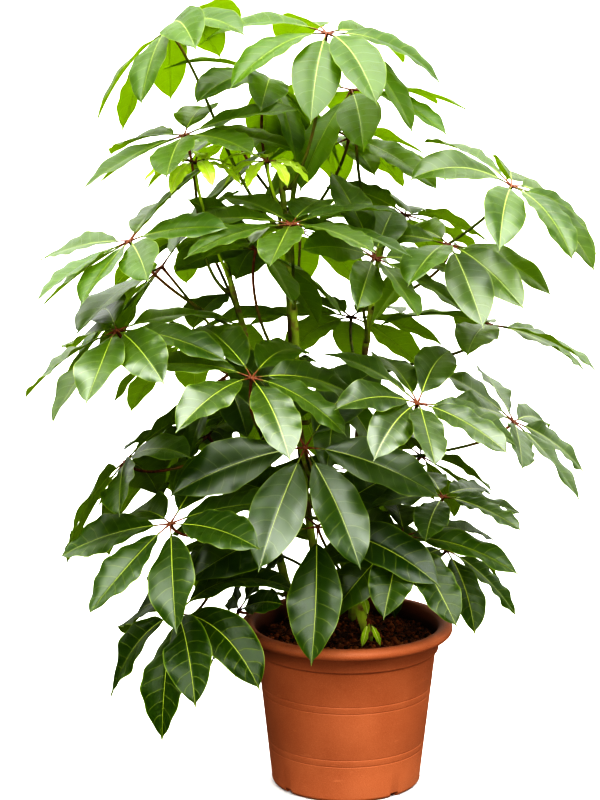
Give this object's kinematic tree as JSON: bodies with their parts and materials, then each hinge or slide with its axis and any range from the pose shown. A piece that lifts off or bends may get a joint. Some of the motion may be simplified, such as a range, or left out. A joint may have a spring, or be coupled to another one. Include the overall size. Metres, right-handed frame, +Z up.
{
  "type": "potted umbrella plant",
  "caption": "Bushy umbrella plant with long-stalked whorls of leathery leaflets on upright stems, in a round tapered nursery pot with a thick rim.",
  "frame": {"origin": "centre of the pot's underside, at floor level", "axes": "+Z up along the pot's axis; -Y towards the front of the plant, the side it is mostly seen from; +X to the right when looking at the front"},
  "size_m": [0.782, 0.7169, 1.0896],
  "materials": {
    "terracotta_plastic": "satin moulded plastic",
    "potting_soil": "coarse matt peat",
    "stem_bark": "smooth green bark with leaf scars",
    "leaf_green": "glossy leathery leaf",
    "leaf_young": "glossy young leaf"
  },
  "bodies": {
    "root": {"leaf_back_1": "leaf_green", "leaf_back_10": "leaf_green", "leaf_back_11": "leaf_green", "leaf_back_12": "leaf_green", "leaf_back_2": "leaf_green", "leaf_back_3": "leaf_green", "leaf_back_4": "leaf_green", "leaf_back_5": "leaf_green", "leaf_back_6": "leaf_green", "leaf_back_7": "leaf_green", "leaf_back_8": "leaf_green", "leaf_back_9": "leaf_green", "leaf_crown_1": "leaf_green", "leaf_crown_2": "leaf_green", "leaf_crown_3": "leaf_green", "leaf_crown_4": "leaf_green", "leaf_inner_1": "leaf_green", "leaf_inner_2": "leaf_green", "leaf_inner_3": "leaf_green", "leaf_low_1": "leaf_green", "leaf_low_10": "leaf_young", "leaf_low_2": "leaf_green", "leaf_low_3": "leaf_green", "leaf_low_4": "leaf_green", "leaf_low_5": "leaf_green", "leaf_low_6": "leaf_green", "leaf_low_7": "leaf_green", "leaf_low_8": "leaf_green", "leaf_low_9": "leaf_green", "leaf_middle_1": "leaf_green", "leaf_middle_2": "leaf_green", "leaf_middle_3": "leaf_green", "leaf_middle_4": "leaf_green", "leaf_middle_5": "leaf_green", "leaf_middle_6": "leaf_green", "leaf_middle_7": "leaf_green", "leaf_upper_1": "leaf_green", "leaf_upper_10": "leaf_green", "leaf_upper_2": "leaf_green", "leaf_upper_3": "leaf_green", "leaf_upper_4": "leaf_green", "leaf_upper_5": "leaf_young", "leaf_upper_6": "leaf_young", "leaf_upper_7": "leaf_green", "leaf_upper_8": "leaf_green", "leaf_upper_9": "leaf_green", "pot": "terracotta_plastic", "soil": "potting_soil", "stem_back": "stem_bark", "stem_front": "stem_bark", "stem_left": "stem_bark", "stem_right": "stem_bark"}
  },
  "joints": []
}
